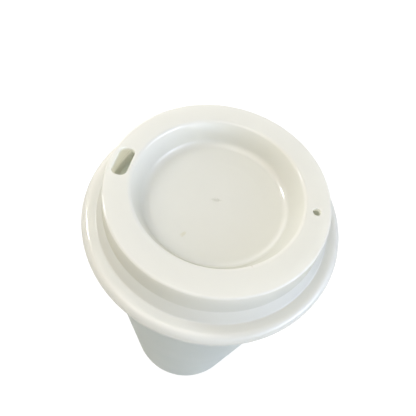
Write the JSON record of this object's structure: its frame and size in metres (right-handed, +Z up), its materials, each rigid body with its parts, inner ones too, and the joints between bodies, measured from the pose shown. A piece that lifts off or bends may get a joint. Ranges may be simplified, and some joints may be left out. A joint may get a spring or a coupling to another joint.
{
  "type": "coffee tumbler",
  "caption": "Tapered reusable coffee cup with a press-on travel lid: raised drinking ring, sunken round centre, oblong sip hole and a pinhole vent.",
  "frame": {"origin": "on the table, under the axis of the cup", "axes": "+Z up along the cup's axis, -X towards the drinking hole, +X towards the vent"},
  "size_m": [0.095, 0.095, 0.157],
  "materials": {
    "cup_plastic": "satin white moulded polypropylene",
    "lid_plastic": "warm white moulded polypropylene, low gloss"
  },
  "bodies": {
    "cup": {"cup": "cup_plastic"},
    "lid": {"lid": "lid_plastic"}
  },
  "joints": [
    {"name": "lid_lift", "type": "slide", "parent": "cup", "child": "lid", "axis": [0, 0, 1], "range_m": [0, 0.04]}
  ]
}
